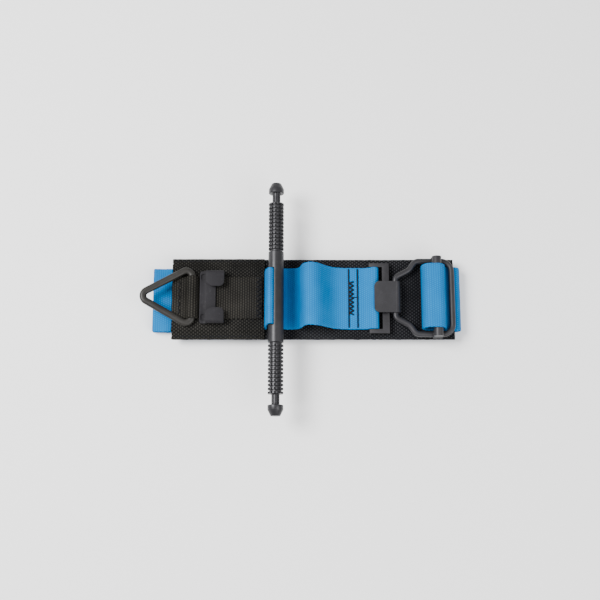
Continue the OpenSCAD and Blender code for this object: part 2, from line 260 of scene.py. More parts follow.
blue_cloth = webbing_finish(
    "blue webbing", ((0.0, 0.042, 0.15), (0.0, 0.115, 0.32), (0.0, 0.205, 0.475)),
    0.62 * MM, 1.30 * MM, 0.40, 0.12 * MM, 0.20, 0.62,
)
pad_cloth = webbing_finish(
    "pad webbing", ((0.0003, 0.0003, 0.0006), (0.0030, 0.0031, 0.0042), (0.046, 0.047, 0.050)),
    0.95 * MM, 1.25 * MM, 0.35, 0.36 * MM, 0.2, 0.72,
)
sleeve_cloth = webbing_finish(
    "sleeve webbing", ((0.0004, 0.0004, 0.0003), (0.0040, 0.0039, 0.0036), (0.046, 0.044, 0.039)),
    0.95 * MM, 1.25 * MM, 0.4, 0.36 * MM, 0.2, 0.72,
)
ring_cloth = webbing_finish(
    "ring webbing", ((0.0006, 0.0006, 0.0004), (0.0068, 0.0064, 0.0056), (0.042, 0.039, 0.033)),
    0.80 * MM, 1.40 * MM, 0.60, 0.26 * MM, 0.2, 0.68,
)
print("webbing finishes:", blue_cloth.name, pad_cloth.name, sleeve_cloth.name, ring_cloth.name)

# %% [markdown]
# ## Thread and metal finishes
# Bonded thread is black, with a fine twist. The metal is coated steel and anodised aluminium: nearly
# black, satin, with a fine grain from blasting, faint handling marks that are smoother, and a slightly
# uneven tone.

# %% Make the thread and metal finishes


def thread_finish():
    """Black bonded thread."""
    f = Finish("black thread", Roughness=0.6, Specular_IOR_Level=0.15)
    at = f.place()
    twist = f.noise(at, 2600.0, 1.0)
    f.set("Base Color", f.ramp(twist, (0.3, (0.0015, 0.0015, 0.002)), (0.75, (0.009, 0.009, 0.011))))
    f.bump(twist, 0.5, 0.08 * MM)
    return f.material


def metal_finish(name, dark, light, rough, grain, metallic, shine=0.35):
    """Coated metal from dark to light, rough on average, with grain as the strength of its fine texture."""
    f = Finish(name, Metallic=metallic, Specular_IOR_Level=shine)
    at = f.place()
    cloud = f.noise(at, 60.0, 4.0)
    fine = f.noise(at, 2400.0, 2.0)
    marks = f.clamp((f.noise(at, 420.0, 5.0, 0.7) - 0.56) * 7.0)
    f.set("Base Color", f.ramp(cloud * 0.55 + fine * 0.35 + marks * 0.25, (0.25, dark), (0.8, light)))
    f.set("Roughness", f.clamp(rough + (cloud - 0.5) * 0.22 - marks * 0.08))
    f.bump(fine, grain, 0.05 * MM)
    return f.material


thread = thread_finish()
coated_steel = metal_finish("coated steel", (0.012, 0.0115, 0.0135), (0.034, 0.033, 0.037), 0.46, 0.35, 0.25)
clip_steel = metal_finish("clip steel", (0.006, 0.0055, 0.0068), (0.022, 0.021, 0.024), 0.6, 0.35, 0.0, 0.12)
ring_steel = metal_finish("ring steel", (0.008, 0.0072, 0.0062), (0.028, 0.026, 0.023), 0.46, 0.5, 0.25)
anodised = metal_finish("anodised rod", (0.013, 0.013, 0.0145), (0.038, 0.037, 0.041), 0.38, 0.25, 0.4)
print("metal finishes:", coated_steel.name, clip_steel.name, ring_steel.name, anodised.name)

# %% [markdown]
# ## Sweeping an outline along a path
# A strap is one outline, a flat bar with round edges, carried along a path, and so are a wire and a
# turned rod. A grid primitive has exactly the right faces for that: its columns become places on the path
# and its rows become points of the outline. Its map is rewritten in metres before the seam is merged, and
# holes are filled, so every piece is a closed skin.

# %% Define the sweep
longest_step = 1.5 * MM


def deselect():
    """Leaves object mode as the mode, and nothing selected."""
    if bpy.context.object and bpy.context.object.mode != "OBJECT":
        bpy.ops.object.mode_set(mode="OBJECT")
    bpy.ops.object.select_all(action="DESELECT")


def only(piece):
    """Makes one piece the only one selected, and the active one."""
    deselect()
    piece.select_set(True)
    bpy.context.view_layer.objects.active = piece


def sweep(name, points, side, up, outline, lengths, rounds, closed=False):
    """points, side and up are n x 3; outline is m x 2 or n x m x 2, as (along side, along up)."""
    n, m = len(points), outline.shape[-2]
    outlines = np.broadcast_to(outline, (n, m, 2))
    body = points[:, None] + side[:, None] * outlines[..., :1] + up[:, None] * outlines[..., 1:]
    if closed:
        body = np.concatenate([body, body[:1]])
        n += 1
    deselect()
    bpy.ops.mesh.primitive_grid_add(x_subdivisions=n - 1, y_subdivisions=m, size=1)
    piece = bpy.context.object
    piece.name = piece.data.name = name
    mesh = piece.data
    flat = np.empty(len(mesh.vertices) * 3)
    mesh.vertices.foreach_get("co", flat)
    flat = flat.reshape(-1, 3)
    column = np.rint((flat[:, 0] + 0.5) * (n - 1)).astype(int)
    row = np.rint((flat[:, 1] + 0.5) * m).astype(int)
    mesh.vertices.foreach_set("co", body[column, row % m].ravel())
    loops = np.empty(len(mesh.loops), int)
    mesh.loops.foreach_get("vertex_index", loops)
    uv = np.stack([lengths[column], rounds[row]], 1)[loops]
    mesh.uv_layers[0].data.foreach_set("uv", uv.ravel())
    mesh.uv_layers[0].name = "UVMap"
    bpy.ops.object.mode_set(mode="EDIT")
    bpy.ops.mesh.select_all(action="SELECT")
    bpy.ops.mesh.remove_doubles(threshold=1e-7)
    bpy.ops.mesh.select_all(action="SELECT")
    bpy.ops.mesh.fill_holes(sides=0)
    bpy.ops.mesh.normals_make_consistent(inside=False)
    bpy.ops.object.mode_set(mode="OBJECT")
    bpy.ops.object.shade_smooth_by_angle(angle=math.radians(40))
    return piece


def arc(cx, cz, r, start, end, n):
    """Points of an arc about (cx, cz), in n steps from start to end in degrees."""
    turn = np.radians(np.linspace(start, end, n + 1))
    return np.stack([cx + r * np.cos(turn), cz + r * np.sin(turn)], 1)


def curve(p, out, reach, q, into, pull, n):
    """A cubic from p, leaving at the angle out, to q, arriving at the angle into."""
    p, q = np.array(p), np.array(q)
    a = p + reach * np.array([math.cos(math.radians(out)), math.sin(math.radians(out))])
    b = q - pull * np.array([math.cos(math.radians(into)), math.sin(math.radians(into))])
    t = np.linspace(0, 1, n + 1)[:, None]
    s = 1 - t
    return s**3 * p + 3 * s * s * t * a + 3 * s * t * t * b + t**3 * q


def join(*parts):
    """One path from several, without points that coincide, and no step over the longest one."""
    rough = np.concatenate([np.atleast_2d(part) for part in parts])
    path = [rough[0]]
    for point in rough[1:]:
        step = np.linalg.norm(point - path[-1])
        if step < 0.02 * MM:
            continue
        pieces = max(1, math.ceil(step / longest_step))
        start = path[-1]
        path += [start + (point - start) * (i + 1) / pieces for i in range(pieces)]
    return np.array(path)


def directions(path, closed=False):
    """The unit vector that a path follows at each of its points."""
    if closed:
        ahead = np.roll(path, -1, 0) - np.roll(path, 1, 0)
    else:
        ahead = np.gradient(path, axis=0)
    return ahead / np.linalg.norm(ahead, axis=1)[:, None]


def run_lengths(path):
    """How far along a path each of its points is."""
    return np.concatenate([[0], np.cumsum(np.linalg.norm(np.diff(path, axis=0), axis=1))])


print("sweep is ready")

# %% [markdown]
# ## Straps
# A strap's outline is a thin bar whose two selvages are round. Real webbing is never quite even, so its
# edge swells with every few picks and its face has a slight roll, both from a noise that is the same on
# every run. Where a strap is pinched, as in the rod's slot, its width is a function of the place along
# it.

# %% Define the strap
selvage_steps = 4


def strap_outline(width, thick, across):
    """Points round a bar, and how far across the strap each one is."""
    r = thick / 2
    half = width / 2 - r
    top = np.stack([np.linspace(-half, half, across), np.full(across, r)], 1)
    right = arc(half, 0, r, 90, -90, selvage_steps)[1:-1]
    bottom = top[::-1] * (1, -1)
    left = arc(-half, 0, r, 270, 90, selvage_steps)[1:-1]
    outline = np.concatenate([top, right, bottom, left])
    return outline, np.concatenate([outline[:, 0], outline[:1, 0]])


def strap(name, path, width, thick=None, across=12, pinch=None, lift=None, uneven=0.12 * MM, start=0.0):
    """path is points (x, z). pinch(x, z) gives a scale for the width and a shift sideways, and lift(x, y)
    moves the cloth along its normal."""
    thick = thick or web * 0.98
    ahead = directions(path)
    outline, rounds = strap_outline(width, thick, across)
    n, m = len(path), len(outline)
    outlines = np.tile(outline, (n, 1, 1))
    lengths = run_lengths(path) + start
    for i, (x, z) in enumerate(path):
        wide, aside = pinch(x, z) if pinch else (1.0, 0.0)
        for sign in (-1, 1):
            edge = outline[:, 0] * sign > width / 2 - thick
            swell = uneven * (noise.noise(Vector((lengths[i] * 420, sign * 3.7, width * 90))) - 0.1)
            outlines[i, edge, 0] += sign * swell
        if lift:
            outlines[i, :, 1] += lift(x, outlines[i, :, 0])
        outlines[i, :, 0] = outlines[i, :, 0] * wide + aside
    points = np.stack([path[:, 0], np.zeros(n), path[:, 1]], 1)
    side = np.tile([0.0, 1.0, 0.0], (n, 1))
    up = np.stack([-ahead[:, 1], np.zeros(n), ahead[:, 0]], 1)
    return sweep(name, points, side, up, outlines, lengths, rounds)


def finish_piece(piece, material, slot, body, *nodes):
    """Gives a piece its finish, hides the nodes it stands for, and puts it on the body it rides on, if it has
    one; slot is not used.
    """
    piece.data.materials.clear()
    piece.data.materials.append(material)
    if nodes:
        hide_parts(*nodes)
    if body:
        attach(piece, body)
    print(f"{piece.name}: {len(piece.data.polygons)} faces")
    return piece


# %% [markdown]
# ## Pad
# The pad is two layers of wide black webbing. The lower one lies flat for the whole length. The upper one
# is a sleeve over the hidden end of the tension strap, so it is raised in the middle and comes down at
# its edges, where it is sewn. Their cut ends are heat sealed, which leaves them slightly wavy.

# %% Build the pad's two layers
pad_left, pad_right = low("pad_base", X), high("pad_base", X)
sleeve_right = high("pad_sleeve", X)
near_end = 0.1 * MM


def straight(x0, x1, z):
    """A level path from x0 to x1."""
    return join([(x0, z), (x1, z)])


def sealed_ends(piece, x0, x1, ragged):
    """Moves the points near both cut ends in and out, by the place across the webbing."""
    for v in piece.data.vertices:
        for end in (x0, x1):
            if abs(v.co.x - end) < near_end:
                at = Vector((v.co.y * 900, end * 300, v.co.z * 500))
                v.co.x += ragged * (noise.noise(at) - 0.35) * (1 if end == x1 else -1)
    return piece


pad = strap("pad", straight(pad_left, pad_right, middle("pad_base", Z)), pad_w, pad_t, 44, uneven=0.12 * MM)
sealed_ends(pad, pad_left, pad_right, 0.5 * MM)
finish_piece(pad, pad_cloth, "pad_webbing", "pad", "pad_base")

sleeve_z = high("pad_sleeve", Z) - pad_t / 2
raised = sleeve_z - (pad_top + gap + pad_t / 2)


def over_tension_strap(x, y):
    """How far the sleeve is below its middle, at a place y across it."""
    t = np.clip((np.abs(y) - tension_w / 2 - 0.2 * MM) / (2.0 * MM), 0, 1)
    ripple = 0.05 * MM * (np.sin(x * 210 + y * 60) - 1)
    return -raised * t * t * (3 - 2 * t) + ripple * (1 - t)


sleeve = strap(
    "pad_sleeve_top", straight(pad_left, sleeve_right, sleeve_z), pad_w, pad_t * 0.96, 60,
    lift=over_tension_strap, uneven=0.08 * MM,
)
sealed_ends(sleeve, pad_left, sleeve_right, 0.5 * MM)
finish_piece(sleeve, sleeve_cloth, "pad_webbing", "pad", "pad_sleeve")

# %% [markdown]
# ## Ring webbing
# A narrower tape lies along the sleeve and makes a tunnel over the ring's straight bar. Its path is flat,
# up a small bend, over an arc that is concentric with the bar, and down again.

# %% Build the tape over the ring's bar
tape_z = low("ring_webbing", Z) + web / 2
ring_bar_x, bar_z = axis_of["ring_swing"][X], axis_of["ring_swing"][Z]
tunnel_r = high("ring_webbing", Z) - web / 2 - bar_z
ring_r = tunnel_r - web / 2 - 0.3 * MM
steep = 70
foot_bend = 1.15 * MM
foot_x = (
    tunnel_r * math.sin(math.radians(steep))
    + (bar_z + tunnel_r * math.cos(math.radians(steep)) - tape_z) / math.tan(math.radians(steep))
    + foot_bend * math.tan(math.radians(steep / 2))
)
tape_path = join(
    [(low("ring_webbing", X), tape_z)],
    arc(ring_bar_x - foot_x, tape_z + foot_bend, foot_bend, -90, steep - 90, 8),
    arc(ring_bar_x, bar_z, tunnel_r, 90 + steep, 90 - steep, 16),
    arc(ring_bar_x + foot_x, tape_z + foot_bend, foot_bend, -90 - steep, -90, 8),
    [(high("ring_webbing", X), tape_z)],
)
tape = strap("ring_tape", tape_path, size("ring_webbing", Y), across=26, uneven=0.3 * MM)
sealed_ends(tape, low("ring_webbing", X), high("ring_webbing", X), 0.4 * MM)
finish_piece(tape, ring_cloth, "ring_tape", "pad", "ring_webbing")

# %% [markdown]
# ## Tension strap
# The blue strap comes out of the sleeve, climbs beside the rod, bends over the upper lip of its slot and
# runs down through it. Beyond the rod it dips to the pad, rises in a loose hump and comes down to the
# slotted frame. It is one strap, but it is made in lengths, because each length moves in its own way when
# the rod turns: the two beside the rod twist, the one in the slot turns with it, and the hump flattens as
# its slack is used up.

# %% Work out the tension strap's path
slot_lean = -66
slot_way = np.array([math.cos(math.radians(slot_lean)), math.sin(math.radians(slot_lean))])
rod_axis = np.array([0, rod_z])
lip_bend, core_half, bend_in = 1.2 * MM, 5.2 * MM, 76
core_start, core_end = rod_axis - core_half * slot_way, rod_axis + core_half * slot_way
lip = core_start + lip_bend * np.array([slot_way[1], -slot_way[0]])
climb_start = (-6.1 * MM, 11.2 * MM)
foot = (6.6 * MM, under_z + 0.2 * MM)
climb = (13.9 * MM, 14.5 * MM)
crest = (19.5 * MM, 24.6 * MM)
flat_start = low("tension_strap_end", X) + 0.4 * MM

meet = arc(*lip, lip_bend, bend_in + 90, bend_in + 90, 1)[0]
rise_path = join(
    [(sleeve_right - 1.5 * MM, under_z)],
    curve((sleeve_right + 0.1 * MM, under_z), 0, 0.9 * MM, climb_start, 96, 1.5 * MM, 10),
    curve(climb_start, 96, 4.5 * MM, meet, bend_in, 7 * MM, 14),
    arc(*lip, lip_bend, bend_in + 90, slot_lean + 90, 14),
)
core_path = join([core_start, core_end])
fall_path = join(curve(core_end, slot_lean, 4.4 * MM, foot, 0, 3 * MM, 20))
slack_path = join(
    curve(foot, 0, 4.2 * MM, climb, 80, 4.2 * MM, 16),
    curve(climb, 80, 6.2 * MM, crest, 0, 3.4 * MM, 18),
    curve(crest, 0, 8 * MM, (flat_start, over_z), 0, 12 * MM, 34),
)
print(f"slack hump is {(slack_path[:, 1].max() - pad_top) / MM:.1f} mm over the pad")

# %% Build the tension strap's lengths


def narrow_by_rod(x, z):
    """Where the strap is drawn into the slot it is narrower, and it has slid aside with the rod."""
    near = min(max((z - pad_top - 1 * MM) / (8 * MM), 0), 1)
    near *= near * (3 - 2 * near)
    return 1 - (1 - size("tension_strap_core", Y) / tension_w) * near, rod_y * near


def soft_roll(x, y):
    """The hump's slight roll: its middle stands a little higher than its edges, and it is never even."""
    bow = -0.5 * MM * (y / (tension_w / 2)) ** 2
    fold = 0.28 * MM * np.sin(x * 330 + y * 45) + 0.18 * MM * np.sin(x * 160 - y * 120 + 1.0)
    inside = min(max((x - foot[0]) / (8 * MM), 0), 1) * min(max((flat_start - x) / (8 * MM), 0), 1)
    return (bow + fold) * inside


def narrow_in_slot(x, z):
    """In the slot the strap is as narrow as it gets, all the way through."""
    return narrow_by_rod(x, rod_z)


hidden_path = straight(pad_left + 1 * MM, sleeve_right - 1.4 * MM, under_z)
anchor = strap("tension_anchor", hidden_path, tension_w * 0.99)
finish_piece(anchor, blue_cloth, "blue_webbing", "pad", "tension_strap_anchor")
rise = strap("tension_rise", rise_path, tension_w, across=24, pinch=narrow_by_rod)
finish_piece(rise, blue_cloth, "blue_webbing", None, "tension_strap_rise")
core = strap("tension_core", core_path, tension_w, across=24, pinch=narrow_in_slot, start=0.026)
finish_piece(core, blue_cloth, "blue_webbing", "windlass", "tension_strap_core")
fall = strap("tension_fall", fall_path, tension_w, across=24, pinch=narrow_by_rod, start=0.037)
finish_piece(fall, blue_cloth, "blue_webbing", None, "tension_strap_fall")
slack = strap("tension_slack", slack_path, tension_w, across=32, lift=soft_roll, start=0.05)
finish_piece(slack, blue_cloth, "blue_webbing", "pad", "tension_strap_slack")

# %% [markdown]
# ## Doubled end
# The strap's end goes round the frame's round bar and comes back below itself, where it is sewn. The path
# is the frame's bar with room for half the strap's thickness, so the loop really holds the bar.

# %% Build the doubled end
frame_t = size("slotted_frame", Z)
frame_z = middle("slotted_frame", Z)
wrap_r = frame_t / 2 + 0.1 * MM + web / 2
frame_bar_x = high("tension_strap_end", X) - wrap_r - web / 2
wrap_from = arc(frame_bar_x, frame_z, wrap_r, 120, 120, 1)[0]
end_path = join(
    [(flat_start, over_z), (frame_bar_x - 6.4 * MM, over_z)],
    curve((frame_bar_x - 6.2 * MM, over_z), 0, 2.2 * MM, wrap_from, 30, 1.6 * MM, 8),
    arc(frame_bar_x, frame_z, wrap_r, 120, -90, 20),
    [(low("tension_strap_end", X), under_z)],
)
end = strap("tension_end", end_path, tension_w, across=24, start=0.096)
finish_piece(end, blue_cloth, "blue_webbing", "pad", "tension_strap_end")

# %% [markdown]
# ## Main strap
# The long strap is folded under the pad in layers, goes up through the buckle, over the slide bar and
# back. Only its folds and edges show, but the whole of it is there. Where the buckle lifts, two short
# lengths under its end wire bend with it, so they are pieces of their own.

# %% Build the main strap
wire_x = high("strap_loop", X)
turn_x = high("pad_base", X) - 0.2 * MM
layers = 5
stack_z = [i * layer + web / 2 for i in range(layers)]
turn_z = (stack_z[3] + under_z) / 2
fold_r = layer / 2
fold_x = low("main_strap_inner_run", X) + web / 2 + fold_r
seam_x, free_end_x, lowest_turn_x = pad_left + 28 * MM, -55 * MM, turn_x - 4 * MM
bend_from, bend_to = wire_x - 1.8 * MM, turn_x - 0.1 * MM

inner_path = join(
    [(seam_x, stack_z[4])],
    arc(fold_x, stack_z[4] - fold_r, fold_r, 90, 270, 12),
    arc(turn_x, turn_z, under_z - turn_z, -90, 90, 18),
    [(bend_to, under_z)],
)
outer_path = join(
    [(bend_to, over_z)],
    arc(turn_x, turn_z, over_z - turn_z, 90, -90, 24),
    arc(fold_x, stack_z[2] - fold_r, fold_r, 90, 270, 12),
    arc(lowest_turn_x, stack_z[1] - fold_r, fold_r, 90, -90, 12),
    [(free_end_x, stack_z[0])],
)
inner = strap("strap_inner_run", inner_path, strap_w, across=10)
outer = strap("strap_outer_run", outer_path, strap_w, across=10, start=0.31)
finish_piece(inner, blue_cloth, "blue_webbing", "pad", "main_strap_inner_run")
finish_piece(outer, blue_cloth, "blue_webbing", "pad", "main_strap_outer_run")

# %% Build the loop over the slide bar and the two lengths under the end wire
slide_x, slide_z = middle("slide_bar", X), high("slide_bar", Z) - size("slide_bar", X) / 2
loop_r = size("slide_bar", X) / 2 + 0.1 * MM + web / 2
loop_left, loop_right = (low("strap_loop", X) + web / 2, 12.8 * MM), (98.8 * MM, 12.6 * MM)
loop_top, leaves_at = slide_z + loop_r, 40
leaves = arc(slide_x, slide_z, loop_r, leaves_at, leaves_at, 1)[0]
loop_path = join(
    [(bend_from, under_z), (loop_left[0] + 4.9 * MM, under_z)],
    curve((loop_left[0] + 4.7 * MM, under_z), 180, 3 * MM, loop_left, 90, 2.2 * MM, 14),
    curve(loop_left, 90, 4 * MM, (90.4 * MM, loop_top), 0, 3 * MM, 16),
    arc(slide_x, slide_z, loop_r, 90, leaves_at, 10),
    curve(leaves, leaves_at - 90, 2.4 * MM, loop_right, -86, 2.4 * MM, 12),
    curve(loop_right, -86, 1.8 * MM, (bend_from + 0.05 * MM, over_z), 0, 1.7 * MM, 12),
)
loop = strap("strap_loop_on_bar", loop_path, strap_w, across=26, start=0.24)
finish_piece(loop, blue_cloth, "blue_webbing", None, "strap_loop")
under_wire = [
    finish_piece(
        strap(name, join([(bend_from, z), (bend_to, z)], [(bend_to, z)]), strap_w, across=20, start=0.3),
        blue_cloth, "blue_webbing", None,
    )
    for name, z in (("strap_under_wire_lower", under_z), ("strap_under_wire_upper", over_z))
]

# %% [markdown]
# ## Wires
# The ring and the bail are bent wire. A list of straight lengths and bends, as a wire bender works, gives
# their centrelines. The bail's wire is round. The ring's is a little flattened, so its outline is a soft
# rectangle.

# %% Define the wire


def bent(start, heading, steps):
    """Points of a wire that starts at (x, y) and follows (length,) or (turn, radius) steps."""
    at, angle = np.array(start, float), heading
    points = [at]
    for step in steps:
        if len(step) == 1:
            count = max(2, round(step[0] / longest_step))
            ahead = np.array([math.cos(math.radians(angle)), math.sin(math.radians(angle))])
            points += [at + ahead * step[0] * (i + 1) / count for i in range(count)]
            at = points[-1]
        else:
            turn, radius = step
            side = math.copysign(1, turn)
            centre = at + side * radius * np.array(
                [-math.sin(math.radians(angle)), math.cos(math.radians(angle))]
            )
            count = max(4, round(abs(turn) / 8))
            first = angle - side * 90
            points += list(arc(*centre, radius, first, first + turn, count)[1:])
            at, angle = points[-1], angle + turn
    return np.array(points)


def wire(name, line, z, outline, tilt=0.0):
    """A closed wire at height z, turned by tilt about the line through its first point."""
    line = line[:-1] if np.linalg.norm(line[0] - line[-1]) < 0.01 * MM else line
    n = len(line)
    ahead = directions(line, closed=True)
    turn = np.array([[math.cos(tilt), 0, -math.sin(tilt)], [0, 1, 0], [math.sin(tilt), 0, math.cos(tilt)]])
    pivot = np.array([line[0, 0], 0, z])
    points = pivot + (np.concatenate([line, np.full((n, 1), z)], 1) - pivot) @ turn
    side = np.stack([ahead[:, 1], -ahead[:, 0], np.zeros(n)], 1) @ turn
    up = np.tile([0.0, 0.0, 1.0], (n, 1)) @ turn
    lengths = run_lengths(np.concatenate([line, line[:1]]))
    rounds = np.linspace(0, 2 * math.pi * outline[:, 0].max(), len(outline) + 1)
    return sweep(name, points, side, up, outline, lengths, rounds, closed=True)


def soft_outline(half_w, half_t, power, count=28):
    """A circle at power 2, and squarer as power grows."""
    turn = np.linspace(0, 2 * math.pi, count, endpoint=False)
    c, s = np.cos(turn), np.sin(turn)
    return np.stack([
        half_w * np.sign(c) * np.abs(c) ** (2 / power), half_t * np.sign(s) * np.abs(s) ** (2 / power),
    ], 1)


# %% Build the ring and the bail
ring_corner, ring_tip = 3.8 * MM, 3.6 * MM
ring_tilt = math.radians(6.5)
reach = (size("tri_ring", X) - 2 * ring_r - 0.06 * MM) / math.cos(ring_tilt)
half_bar = size("tri_ring", Y) / 2 - ring_r - 0.03 * MM - ring_corner
run = reach - ring_corner - ring_tip
span = math.hypot(run, half_bar)
leg_turn = math.degrees(math.atan2(half_bar, run) - math.asin((ring_corner - ring_tip) / span))
leg = math.sqrt(span**2 - (ring_corner - ring_tip) ** 2)
ring_line = bent((ring_bar_x, -half_bar), 90, [
    (2 * half_bar,), (90 + leg_turn, ring_corner), (leg,), (180 - 2 * leg_turn, ring_tip), (leg,),
    (90 + leg_turn, ring_corner),
])
ring = wire("locking_ring", ring_line, bar_z, soft_outline(ring_r * 1.05, ring_r * 0.86, 2.5), ring_tilt)
finish_piece(ring, ring_steel, "ring_steel", "ring", "tri_ring")

bail_r = (size("bail_wire", Z) - 0.06 * MM) / 2
bail_z = middle("bail_wire", Z)
bail_half = size("bail_wire", Y) / 2 - bail_r - 0.03 * MM
bail_corner, shoulder_r, relax_r, hook_corner = 6 * MM, 4 * MM, 6 * MM, 3 * MM
side_left, shoulder_l = 84 * MM, 3 * MM
hook_x = high("hook_plate", X) - (bail_r + 0.05 * MM + 1.4 * MM)
shoulder, slope = 55, 28
down, easy = math.radians(shoulder), math.radians(slope)
after_x = (
    side_left - (shoulder_r + relax_r) * math.sin(down) - shoulder_l * math.cos(down)
    + relax_r * math.sin(easy)
)
after_y = (
    bail_half - shoulder_r * (1 - math.cos(down)) - shoulder_l * math.sin(down)
    - relax_r * (math.cos(easy) - math.cos(down))
)
bail_run = (after_x - hook_x - hook_corner * (1 - math.sin(easy))) / math.cos(easy)
rest = after_y - bail_run * math.sin(easy) - hook_corner * math.cos(easy)
bail_arm = [
    (90, bail_corner), (wire_x - bail_corner - side_left,), (shoulder, shoulder_r), (shoulder_l,),
    (slope - shoulder, relax_r), (bail_run,), (90 - slope, hook_corner),
]
end_wire = bail_half - bail_corner
bail_line = bent((wire_x, -end_wire), 90, [(2 * end_wire,), *bail_arm, (2 * rest,), *bail_arm[::-1]])
bail = wire("buckle_bail", bail_line, bail_z, soft_outline(bail_r * 1.06, bail_r, 2))
finish_piece(bail, coated_steel, "coated_steel", "bail", "bail_wire")
print(f"bail closes within {np.linalg.norm(bail_line[0] - bail_line[-1]) / MM:.3f} mm")

# %% [markdown]
# ## Windlass rod
# The rod is turned, so it is one outline carried round its axis. Each grip is a row of rings with flutes
# milled along it, which leaves small square teeth. The flutes are part of the outline here: where one
# passes, the radius is smaller. The slot is cut last, with a Boolean, because it goes through a round
# face at a slant.

# %% Build the rod
rod_half = size("windlass_rod", Y) / 2
head_l, neck_l, neck_r, tip_r = 6.3 * MM, 6.2 * MM, 2.2 * MM, 2.5 * MM
grip_rings, grip_pitch, ring_wide, groove = 13, 2.25 * MM, 1.25 * MM, 1.0 * MM
grip_l = (grip_rings - 1) * grip_pitch + ring_wide
neck_y = rod_half - head_l - neck_l
grip_y = neck_y - grip_l
edge = 0.16 * MM
around, flute_pitch, flute_half, flute_fade, flute_cut, neck_flute = 144, 30, 5.2, 1.8, 0.95 * MM, 0.45
fluted_neck_r = neck_r + 0.15 * MM


def half_rod():
    """Radius, place along the rod, and how much of a flute each point has, from the middle out."""
    rows = [(rod_r, y, 0) for y in np.arange(0.7 * MM, grip_y - 1.6 * MM, 1.4 * MM)]
    rows += [(rod_r, grip_y - 1.4 * MM, 0), (rod_r - edge, grip_y - 1.25 * MM, 0)]
    for i in range(grip_rings):
        y = grip_y + i * grip_pitch
        rows += [
            (rod_r - groove, y - (grip_pitch - ring_wide) + 0.12 * MM, 0), (rod_r - groove, y - 0.08 * MM, 0),
            (rod_r - edge * 1.2, y, 1), (rod_r, y + edge, 1), (rod_r, y + ring_wide / 2, 1),
            (rod_r, y + ring_wide - edge, 1), (rod_r - edge * 1.2, y + ring_wide, 1),
        ]
    rows += [(neck_r + 0.5 * MM, neck_y + 0.05 * MM, 0), (fluted_neck_r, neck_y + 0.5 * MM, neck_flute)]
    rows += [(fluted_neck_r, neck_y + t * neck_l, neck_flute) for t in (0.3, 0.6, 0.92)]
    head_y = neck_y + neck_l
    return rows + [
        (neck_r + 0.3 * MM, head_y, 0), (rod_r - 0.3 * MM, head_y + 0.02 * MM, 0),
        (rod_r, head_y + 0.3 * MM, 0), (rod_r, rod_half - 3.6 * MM, 0),
        (rod_r - 0.15 * MM, rod_half - 3.3 * MM, 0), (tip_r + 0.45 * MM, rod_half - 0.4 * MM, 0),
        (tip_r + 0.1 * MM, rod_half - 0.04 * MM, 0), (tip_r * 0.5, rod_half, 0),
    ]


def build_rod():
    """The rod without its slot: both halves' rings of points, with the flutes cut into them."""
    rows = half_rod()
    rows = [(r, -y, f) for r, y, f in reversed(rows)] + rows
    radius, along, fluted = (np.array(c) for c in zip(*rows))
    turn = np.linspace(0, 2 * math.pi, around, endpoint=False)
    off = np.abs((np.degrees(turn) + flute_pitch / 2) % flute_pitch - flute_pitch / 2)
    cut = np.clip((flute_half - off) / flute_fade, 0, 1) * flute_cut
    reach = radius[:, None] - fluted[:, None] * cut[None]
    outline = np.stack([reach * np.cos(turn), reach * np.sin(turn)], 2)
    n = len(rows)
    points = np.stack([np.zeros(n), along + rod_y, np.full(n, rod_z)], 1)
    side, up = np.tile([1.0, 0.0, 0.0], (n, 1)), np.tile([0.0, 0.0, 1.0], (n, 1))
    rounds = np.linspace(0, 2 * math.pi * rod_r, around + 1)
    return sweep("windlass", points, side, up, outline, along - along[0], rounds)


def cut_slot(rod):
    """Cuts the slanted slot for the strap, with round ends, with a Boolean."""
    deselect()
    length, wide = size("tension_strap_core", Y) + 1.2 * MM, web + 0.6 * MM
    bpy.ops.mesh.primitive_cube_add(size=1, location=(0, rod_y, rod_z))
    cutter = bpy.context.object
    cutter.scale = (4 * rod_r, length, wide)
    bpy.ops.object.transform_apply(location=False, rotation=False, scale=True)
    bpy.ops.object.mode_set(mode="EDIT")
    bpy.ops.mesh.select_all(action="DESELECT")
    bpy.ops.object.mode_set(mode="OBJECT")
    for e in cutter.data.edges:
        a, b = (cutter.data.vertices[i].co for i in e.vertices)
        e.select = abs(a.x - b.x) > rod_r
    bpy.ops.object.mode_set(mode="EDIT")
    bpy.ops.mesh.bevel(offset=wide * 0.49, segments=5)
    bpy.ops.object.mode_set(mode="OBJECT")
    cutter.rotation_euler = (0, math.radians(-slot_lean), 0)
    only(rod)
    modifier = rod.modifiers.new("slot", "BOOLEAN")
    modifier.object = cutter
    modifier.operation = "DIFFERENCE"
    modifier.solver = "EXACT"
    bpy.ops.object.modifier_apply(modifier="slot")
    bpy.data.objects.remove(cutter)


rod = build_rod()
cut_slot(rod)
only(rod)
bpy.ops.object.shade_smooth_by_angle(angle=math.radians(32))
finish_piece(rod, anodised, "anodised_rod", "windlass", "windlass_rod")

# %% [markdown]
# ## Stamped and cast metal
# The clip, frame, hook plate and slide bar already have the right shape. What they lack is the soft edge
# that a deburred, coated part has. Each is a merged copy of its node, with its flat faces made whole, and
# a bevel that rounds the sharp edges so that they catch the light.

# %% Round the edges of the metal parts
sharp = math.radians(35)


